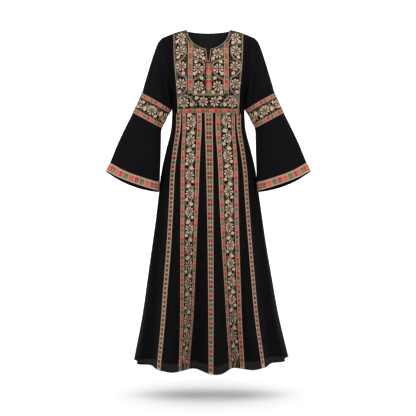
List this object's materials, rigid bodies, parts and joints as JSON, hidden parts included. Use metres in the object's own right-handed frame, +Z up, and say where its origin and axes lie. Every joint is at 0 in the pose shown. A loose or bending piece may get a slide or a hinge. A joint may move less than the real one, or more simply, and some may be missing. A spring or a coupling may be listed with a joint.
{
  "type": "palestinian thobe dress",
  "caption": "Full-length thobe dress with bell sleeves and a flared skirt, filled out as when worn and rigid here, with embroidered trims.",
  "frame": {"origin": "midway between the wearer's shoulders, at the middle height of the shoulder seams, where they carry the dress", "axes": "+Z up, -Y out of the front, +X to the wearer's left"},
  "size_m": [0.849, 0.4345, 1.4114],
  "materials": {
    "black_crepe": "matte crepe with a soft sheen",
    "embroidered_cloth": "thread embroidery on black crepe",
    "woven_ribbon": "woven ribbon with stitched squares",
    "tan_cord": "twisted thread cord"
  },
  "bodies": {
    "root": {"back_bodice": "black_crepe", "cuff_trim_left": "woven_ribbon", "cuff_trim_right": "woven_ribbon", "front_bodice": "black_crepe", "front_embroidered_panel": "embroidered_cloth", "neck_piping": "tan_cord", "skirt_back": "black_crepe", "skirt_front": "black_crepe", "sleeve_band_left": "embroidered_cloth", "sleeve_band_right": "embroidered_cloth", "sleeve_flare_left": "black_crepe", "sleeve_flare_right": "black_crepe", "sleeve_upper_left": "black_crepe", "sleeve_upper_right": "black_crepe", "stripe_centre": "woven_ribbon", "stripe_narrow_left": "woven_ribbon", "stripe_narrow_right": "woven_ribbon", "stripe_wide_left": "embroidered_cloth", "stripe_wide_right": "embroidered_cloth", "waist_trim": "woven_ribbon"}
  },
  "joints": []
}
